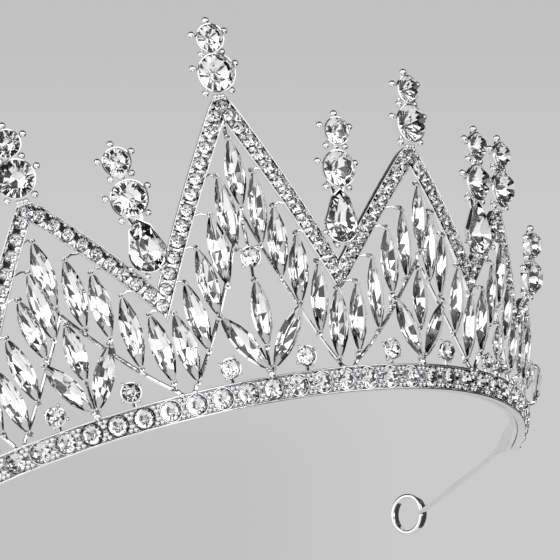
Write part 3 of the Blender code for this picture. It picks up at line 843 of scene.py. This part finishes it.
def lily(peak, both):
    """The upright and spread marquises and the round accents under an arch."""
    spec = LILIES[peak]
    base = spec["base"]
    reach, radius = spec["accents"]
    metal, stones = Shape(), Shape()
    low, length = spec["upright"]
    set_marquise(metal, stones, base, low, 2.0 if base else 0.0, length)
    metal.tube([wall_point(base, 5.3, WIRE_OUT), wall_point(base, low, WIRE_OUT)], 0.45)
    for side, spread in zip((-1, 1), spec["spread"]):
        rise = LILY_SPREAD_TOP - LILY_SPREAD_BASE
        tilt = math.degrees(math.atan2(spread, rise))
        size = math.hypot(spread, rise)
        foot = base + 0.35 * side
        set_marquise(metal, stones, foot, LILY_SPREAD_BASE, side * tilt, size, roll=8 * side)
    metal.ball(wall_point(base, 5.5, 1.2), 0.85, 3)
    for side in (-1, 1):
        u = base + side * reach
        frame = wall_frame(u, 6.2 + 0.95 * radius, 0.1)
        turns = (60, 150, 240, 330) if side < 0 else (30, 120, 210, 300)
        set_round(metal, stones, frame, radius - 0.15, turns, 0.36, 1.3, 20.0 * side)
        metal.tube([wall_point(u, 5.0, 0.5), wall_point(u, 6.6, 0.5)], 0.4)
    if peak == "centre":
        crown, size = LILY_CROWN
        frame = wall_frame(base, crown, 0.5)
        set_round(metal, stones, frame, size - 0.1, FOUR, 0.4, 1.3)
        metal.tube([wall_point(base, low + length, 0.7), wall_point(base, crown - 1.5, 0.9)], 0.4)
        metal.tube([wall_point(base, crown + 1.5, 0.9), wall_point(base, CENTRE_TIP, 0.7)], 0.4)
    make_sides("lily_metal_" + peak, metal, CAST, ["lily_" + peak], SHARP, both)
    make_sides("lily_stones_" + peak, stones, STONE, [], None, both)


def finial(peak, both):
    """The two-stone finial above a peak."""
    u, v = APEXES[peak]
    frame = wall_frame(u, v + LARGE_RISE, 0.0, FINIAL_LEANS[peak])
    top = upward(frame, SMALL_RISE - LARGE_RISE)
    metal, large, small = Shape(), Shape(), Shape()
    set_round(metal, large, frame, LARGE_RADIUS, FIVE, PRONG_BALL)
    set_round(metal, small, top, SMALL_RADIUS, FIVE, PRONG_BALL)
    link = [Vector((0.0, h, 0.7)) for h in (LARGE_RADIUS, SMALL_RISE - LARGE_RISE - SMALL_RADIUS)]
    metal.tube([frame @ point for point in link], 0.7)
    for x in (-0.75, 0.0, 0.75):
        metal.ball(frame @ Vector((x, -LARGE_RADIUS - 0.85, 0.6)), 0.62)
    nodes = ["finial_setting_" + peak]
    make_sides("finial_metal_" + peak, metal, POLISHED, nodes, SHARP, both)
    make_sides("finial_large_" + peak, large, STONE, ["finial_stone_large_" + peak], None, both)
    make_sides("finial_small_" + peak, small, STONE, ["finial_stone_small_" + peak], None, both)


def drop(valley, both):
    """The pear, large and small stones that stand in a valley."""
    u, v, tilt = DROPS[valley]
    frame = wall_frame(u, v, DROP_OUT, tilt)
    middle, top = upward(frame, DROP_LARGE_RISE), upward(frame, DROP_SMALL_RISE)
    metal, pear, large, small = Shape(), Shape(), Shape(), Shape()
    outline = pear_outline(PEAR_LENGTH, PEAR_WIDTH)
    depth = PEAR_CUP_DEPTH
    rings = []
    for point in pear_outline(PEAR_LENGTH, PEAR_WIDTH, SETTING_SIDES):
        out = point.normalized()
        spots = [(0.6 * point, 0.0), (0.75 * point, 0.0), (point + CUP_WALL * out, depth - 0.6)]
        spots += [(point + CUP_WALL * out, depth - 0.1), (point + 0.02 * out, depth - 0.06)]
        spots += [(point - 0.3 * out, depth - 0.5)]
        rings.append([frame @ (spot + Vector((0.0, 0.0, z))) for spot, z in spots])
    metal.loft(rings, closed=True)
    seat = frame @ Matrix.Translation(Vector((0.0, 0.0, depth)))
    pear.add_stone(*cut_stone(outline, PEAR_CROWN, PEAR_DEPTH, PEAR_CENTRE), seat)
    for turn in PEAR_PRONGS:
        angle = math.radians(turn)
        away = Vector((math.cos(angle), math.sin(angle), 0.0))
        centre = Vector((0.0, 0.5 * (PEAR_WIDTH - PEAR_LENGTH), 0.0))
        path = [frame @ (centre + r * away + Vector((0.0, 0.0, z))) for r, z in PEAR_PRONG_PATH]
        metal.tube(path, PEAR_PRONG_WIRE)
        metal.ball(path[-1], 0.6, 3)
    set_round(metal, large, middle, DROP_LARGE_RADIUS, FIVE, PRONG_BALL)
    set_round(metal, small, top, SMALL_RADIUS, FIVE, PRONG_BALL)
    cup_foot = DROP_LARGE_RISE - DROP_LARGE_RADIUS + 0.1
    for side in (-1.0, 1.0):
        strut = [(0.8 * side, 0.5 * PEAR_LENGTH - 1.0), (1.3 * side, cup_foot)]
        metal.tube([frame @ Vector((x, y, 0.8)) for x, y in strut], 0.45)
    link = (DROP_LARGE_RISE + DROP_LARGE_RADIUS, DROP_SMALL_RISE - SMALL_RADIUS)
    metal.tube([frame @ Vector((0.0, height, 0.7)) for height in link], 0.65)
    nodes = ["drop_setting_" + valley]
    make_sides("drop_metal_" + valley, metal, POLISHED, nodes, SHARP, both)
    make_sides("drop_pear_cut_" + valley, pear, STONE, ["drop_pear_" + valley], None, both)
    make_sides("drop_large_" + valley, large, STONE, ["drop_stone_large_" + valley], None, both)
    make_sides("drop_small_" + valley, small, STONE, ["drop_stone_small_" + valley], None, both)


# ---------------------------------------------------------------- the studio
CAMERA_AT = Vector((-230.5, -560.3 - DEPTH_CENTRE, -219.6 + BASE_LIFT))
CAMERA_RIGHT = Vector((0.9198, -0.2677, -0.2869))
CAMERA_DOWN = Vector((-0.1448, 0.4481, -0.8822))
SENSOR = 36.0
FOCAL_LENGTH = 211.80858


def make_camera():
    data = bpy.data.cameras.new("camera")
    data.sensor_width = SENSOR
    data.lens = FOCAL_LENGTH
    data.clip_start = 0.01
    data.clip_end = 20.0
    camera = bpy.data.objects.new("camera", data)
    right = CAMERA_RIGHT.normalized()
    back = right.cross(-CAMERA_DOWN).normalized()
    up = back.cross(right)
    frame = Matrix((right, up, back)).transposed().to_4x4()
    frame.translation = MM * CAMERA_AT
    camera.matrix_world = frame
    bpy.context.scene.collection.objects.link(camera)
    bpy.context.scene.camera = camera
    return right, up, -back


def make_world(right, up, ahead):
    """A grey studio: bright behind the viewer, dark at the right and above, with a plain backdrop.

    Every step and blend below works on one grey level, and a later one covers an earlier one.
    """
    world = bpy.data.worlds.new("studio")
    bpy.context.scene.world = world
    world.use_nodes = True
    tree = world.node_tree
    tree.nodes.clear()
    place = tree.nodes.new("ShaderNodeTexCoord")

    def along(axis):
        """How far a direction points along the axis, from -1 to 1."""
        node = tree.nodes.new("ShaderNodeVectorMath")
        node.operation = "DOT_PRODUCT"
        node.inputs[1].default_value = axis
        tree.links.new(place.outputs["Generated"], node.inputs[0])
        return node.outputs["Value"]

    def step(value, low, high, bottom=0.0, top=1.0):
        """A soft step from bottom, where value is low, to top, where it is high."""
        node = tree.nodes.new("ShaderNodeMapRange")
        node.interpolation_type = "SMOOTHSTEP"
        for key, number in zip(("From Min", "From Max", "To Min", "To Max"), (low, high, bottom, top)):
            node.inputs[key].default_value = number
        tree.links.new(value, node.inputs["Value"])
        return node.outputs["Result"]

    def combine(operation, first, second):
        node = tree.nodes.new("ShaderNodeMath")
        node.operation = operation
        for socket, value in zip(node.inputs, (first, second)):
            if isinstance(value, float):
                socket.default_value = value
            else:
                tree.links.new(value, socket)
        return node.outputs[0]

    def blend(factor, first, second):
        """The first level where factor is 0, and the second where it is 1."""
        node = tree.nodes.new("ShaderNodeMix")
        for socket, value in zip((node.inputs[0], node.inputs[2], node.inputs[3]), (factor, first, second)):
            if isinstance(value, float):
                socket.default_value = value
            else:
                tree.links.new(value, socket)
        return node.outputs[0]

    depth, side, height = along(ahead), along(right), along(up)
    level = step(height, 0.3, 0.12, 0.03, 0.62)
    level = blend(step(side, 0.55, 0.65), level, 0.05)
    front = step(depth, 0.02, -0.15)
    level = blend(front, level, step(height, -0.25, 0.1, 0.95, 1.7))
    for middle, reach in ((0.62, 0.05), (-0.45, 0.04)):
        bar = combine("MULTIPLY", step(side, middle - reach - 0.03, middle - reach),
                      step(side, middle + reach + 0.03, middle + reach))
        level = blend(bar, level, 0.1)
    bar = combine("MULTIPLY", step(height, 0.34, 0.38), step(height, 0.5, 0.46))
    level = blend(combine("MULTIPLY", bar, front), level, 0.08)
    level = blend(combine("MULTIPLY", front, step(height, 0.74, 0.82)), level, 0.06)
    shadow = combine("MULTIPLY", step(side, 0.6, 0.68), step(height, -0.02, -0.12))
    level = blend(shadow, level, 0.05)
    lens = step(depth, -0.97, -0.98)
    level = blend(lens, level, 0.02)
    behind = step(depth, 0.72, 0.8)
    level = blend(behind, level, 0.57)
    low = combine("MULTIPLY", step(height, -0.015, -0.06), step(side, 0.05, -0.02))
    tall = step(height, 0.01, 0.085)
    shade = combine("ADD", combine("MULTIPLY", low, 0.06), combine("MULTIPLY", tall, 0.065))
    backdrop = combine("SUBTRACT", 0.6, shade)
    path = tree.nodes.new("ShaderNodeLightPath")
    level = blend(path.outputs["Is Camera Ray"], level, backdrop)
    ground = tree.nodes.new("ShaderNodeBackground")
    output = tree.nodes.new("ShaderNodeOutputWorld")
    tree.links.new(level, ground.inputs["Color"])
    tree.links.new(ground.outputs[0], output.inputs["Surface"])


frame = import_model()

band_strip()
rail("rail_centre", -RAIL_JOINT, RAIL_JOINT, False)
rail("rail", RAIL_JOINT + RAIL_GAP, RAIL_END, True)
for peak in APEXES:
    both = peak != "centre"
    frame_legs(peak, both)
    fan(peak, both)
    if peak in LILIES:
        lily(peak, both)
    finial(peak, both)
for valley in DROPS:
    drop(valley, True)

make_world(*make_camera())

bpy.context.scene.view_settings.view_transform = "Standard"
